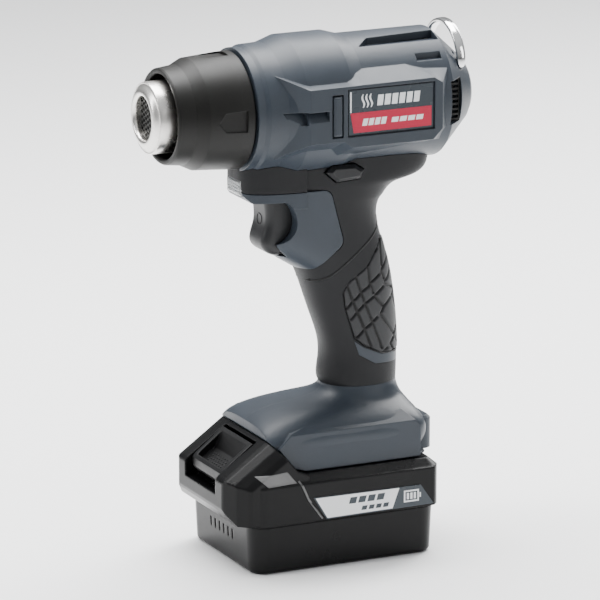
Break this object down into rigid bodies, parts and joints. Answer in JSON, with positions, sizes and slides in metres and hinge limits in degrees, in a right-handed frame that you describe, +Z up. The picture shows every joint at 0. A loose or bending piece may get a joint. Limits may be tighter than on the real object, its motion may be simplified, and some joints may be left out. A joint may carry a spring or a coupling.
{
  "type": "cordless heat gun",
  "caption": "Pistol-grip cordless heat gun with steel nozzle, slide trigger, side lock, hanging hook and slide-on battery.",
  "frame": {"origin": "centre of the battery's flat underside, on which the tool stands", "axes": "+Z up, -X towards the nozzle, +X towards the back, Y across the tool; the halves part at Y = 0"},
  "size_m": [0.1696, 0.0798, 0.259],
  "materials": {
    "housing_plastic": "fine-textured blue-grey moulded plastic",
    "grip_rubber": "matt charcoal elastomer",
    "pad_rubber": "grooved charcoal elastomer",
    "trim_plastic": "satin blue-grey",
    "shroud_plastic": "warm black heat-resistant plastic",
    "nozzle_steel": "satin stainless steel",
    "grille_steel": "heat-darkened steel",
    "mica": "mica sheet",
    "heater_wire": "resistance wire",
    "inner_plastic": "black glass-filled plastic",
    "motor_steel": "zinc-plated steel",
    "black_plastic": "satin black plastic",
    "battery_plastic": "satin black plastic",
    "label_print": "two-colour label: dark grey above, crimson below",
    "battery_label": "white and slate label",
    "screw_steel": "blackened steel",
    "hook_chrome": "chrome-plated",
    "lens": "clear lens",
    "board": "green circuit board",
    "copper": "copper alloy",
    "cell_wrap": "shrink-wrapped cell",
    "holder_plastic": "black plastic",
    "nickel": "nickel strip",
    "spring_steel": "spring steel",
    "lead_wire": "insulated wire"
  },
  "bodies": {
    "housing": {"housing_left": "housing_plastic", "housing_right": "housing_plastic", "grip_cover_left": "grip_rubber", "grip_cover_right": "grip_rubber", "grip_pad_left": "pad_rubber", "grip_pad_right": "pad_rubber", "grip_trim_left": "trim_plastic", "grip_trim_right": "trim_plastic", "label_plate_left": "label_print", "label_plate_right": "label_print", "side_bars": "black_plastic", "housing_screws": "screw_steel", "nozzle": "nozzle_steel", "nozzle_grille": "grille_steel", "mica_sleeve": "mica", "heater_former": "mica", "heater_coil": "heater_wire", "air_funnel": "inner_plastic", "shroud_collar": "inner_plastic", "fan_duct": "inner_plastic", "fan_motor": "motor_steel", "intake_screens": "black_plastic", "trigger_spring": "spring_steel", "trigger_switch": "inner_plastic", "led_lens": "lens", "led_board": "board", "control_board": "board", "terminal_block": "inner_plastic", "tool_blades": "copper", "power_leads": "lead_wire"},
    "shroud": {"front_shroud": "shroud_plastic"},
    "fan": {"impeller": "inner_plastic"},
    "trigger": {"trigger": "black_plastic"},
    "lock": {"lock_button": "black_plastic"},
    "hook": {"hanging_hook": "hook_chrome"},
    "battery": {"battery_lower_case": "battery_plastic", "battery_upper_case": "battery_plastic", "cell_holder_left": "holder_plastic", "cell_holder_right": "holder_plastic", "cell_strips_left": "nickel", "cell_strips_right": "nickel", "battery_board": "board", "battery_contacts": "copper", "battery_label_left": "battery_label", "battery_label_right": "battery_label", "battery_cell_01": "cell_wrap", "battery_cell_02": "cell_wrap", "battery_cell_03": "cell_wrap", "battery_cell_04": "cell_wrap", "battery_cell_05": "cell_wrap", "battery_cell_06": "cell_wrap", "battery_cell_07": "cell_wrap", "battery_cell_08": "cell_wrap", "battery_cell_09": "cell_wrap", "battery_cell_10": "cell_wrap", "latch_springs": "spring_steel"},
    "latch": {"latch_button": "black_plastic"}
  },
  "joints": [
    {"name": "trigger_pull", "type": "slide", "parent": "housing", "child": "trigger", "axis": [1, 0, 0], "range_m": [0, 0.006], "stiffness_N_per_m": 900, "springref_m": -0.004, "deforming": ["trigger_spring"]},
    {"name": "lock_press", "type": "slide", "parent": "housing", "child": "lock", "axis": [0, 1, 0], "range_m": [0, 0.004]},
    {"name": "fan_spin", "type": "hinge", "parent": "housing", "child": "fan", "pos_m": [0.009, 0, 0.224], "axis": [1, 0, 0], "continuous": true},
    {"name": "shroud_twist", "type": "hinge", "parent": "housing", "child": "shroud", "pos_m": [-0.06, 0, 0.224], "axis": [1, 0, 0], "range_deg": [0, 30]},
    {"name": "hook_fold", "type": "hinge", "parent": "housing", "child": "hook", "pos_m": [0.071, 0, 0.2395], "axis": [0, 1, 0], "range_deg": [0, 90]},
    {"name": "battery_slide", "type": "slide", "parent": "housing", "child": "battery", "axis": [-1, 0, 0], "range_m": [0, 0.1]},
    {"name": "latch_press", "type": "slide", "parent": "battery", "child": "latch", "axis": [-0.8192, 0, -0.5736], "range_m": [0, 0.0035], "stiffness_N_per_m": 1200, "springref_m": -0.003, "deforming": ["latch_springs"]}
  ]
}
